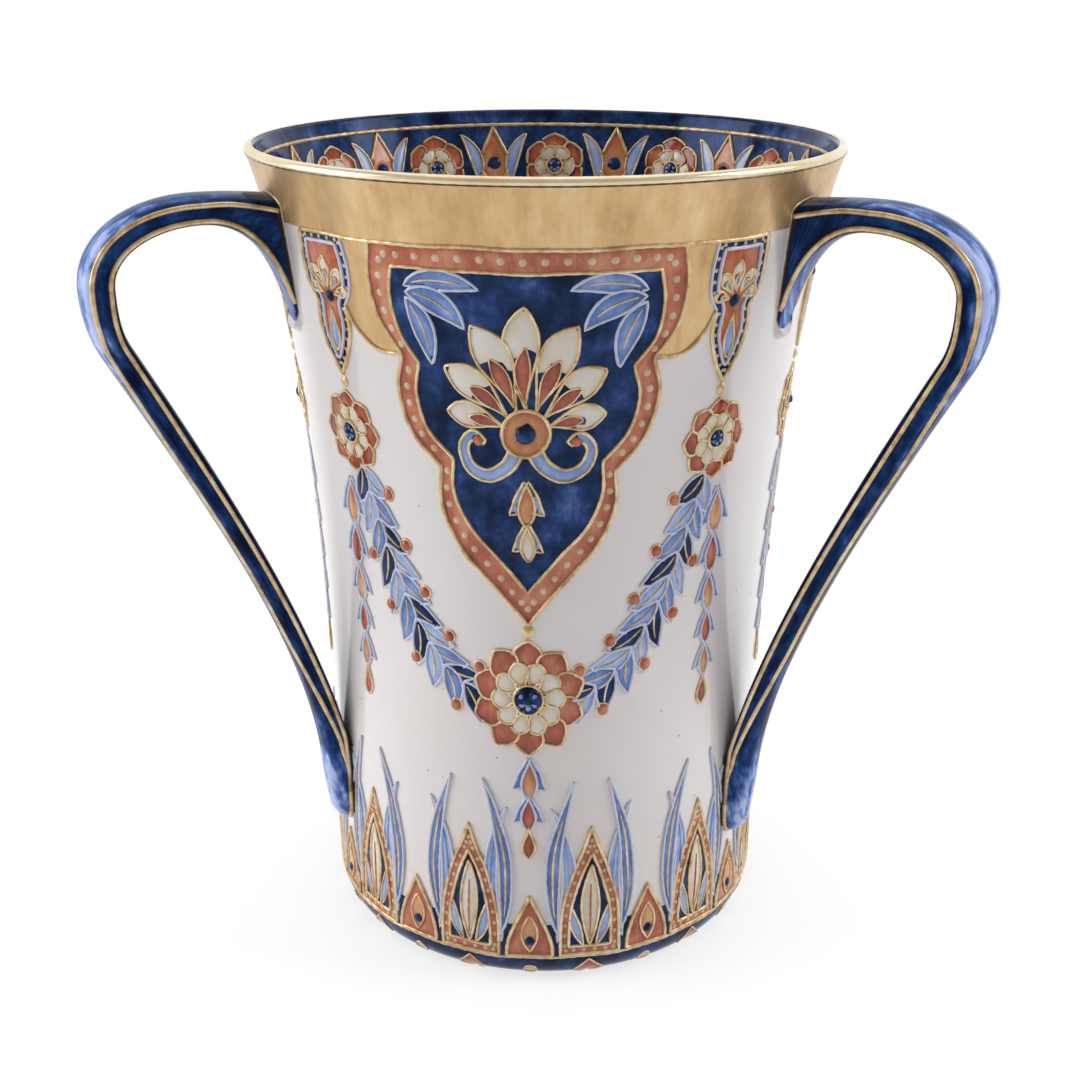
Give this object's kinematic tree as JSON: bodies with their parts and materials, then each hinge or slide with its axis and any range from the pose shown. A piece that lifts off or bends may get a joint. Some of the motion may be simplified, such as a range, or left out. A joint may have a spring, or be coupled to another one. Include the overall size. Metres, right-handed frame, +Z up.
{
  "type": "loving cup",
  "caption": "Flared pottery loving cup with looped strap handles luted round its wall, a gilt rim and a recessed foot, for drinking in turn or for display.",
  "frame": {"origin": "on the cup's axis, at the plane of the foot ring that it stands on", "axes": "+Z up the cup's axis, -Y towards the bay between the two front handles, one handle along +Y"},
  "size_m": [0.1989, 0.1828, 0.2001],
  "materials": {
    "white_glaze": "glossy clear glaze over a white body",
    "cobalt_glaze": "glossy dark blue underglaze",
    "blue_glaze": "glossy washed blue underglaze",
    "rust_glaze": "glossy iron-red enamel",
    "slip": "raised pale slip under glaze",
    "gilt_slip": "raised slip under gilding",
    "gilding": "burnished gold"
  },
  "bodies": {
    "root": {"cup_body": "white_glaze", "handle_front_right": "cobalt_glaze", "handle_front_left": "cobalt_glaze", "handle_back": "cobalt_glaze", "upper_slip_front_right": "slip", "upper_slip_front_left": "slip", "upper_slip_back": "slip", "lower_slip_front_right": "slip", "lower_slip_front_left": "slip", "lower_slip_back": "slip", "rim_gilding": "gilding", "lip_gilding": "gilding", "panel_line_front": "gilt_slip", "panel_line_right": "gilt_slip", "panel_line_left": "gilt_slip", "field_line_front": "gilt_slip", "field_line_right": "gilt_slip", "field_line_left": "gilt_slip", "festoon_front": "blue_glaze", "festoon_right": "blue_glaze", "festoon_left": "blue_glaze", "leaf_line_foot": "gilt_slip", "swag_line_inside": "gilt_slip", "rim_line_inside": "gilt_slip"}
  },
  "joints": []
}
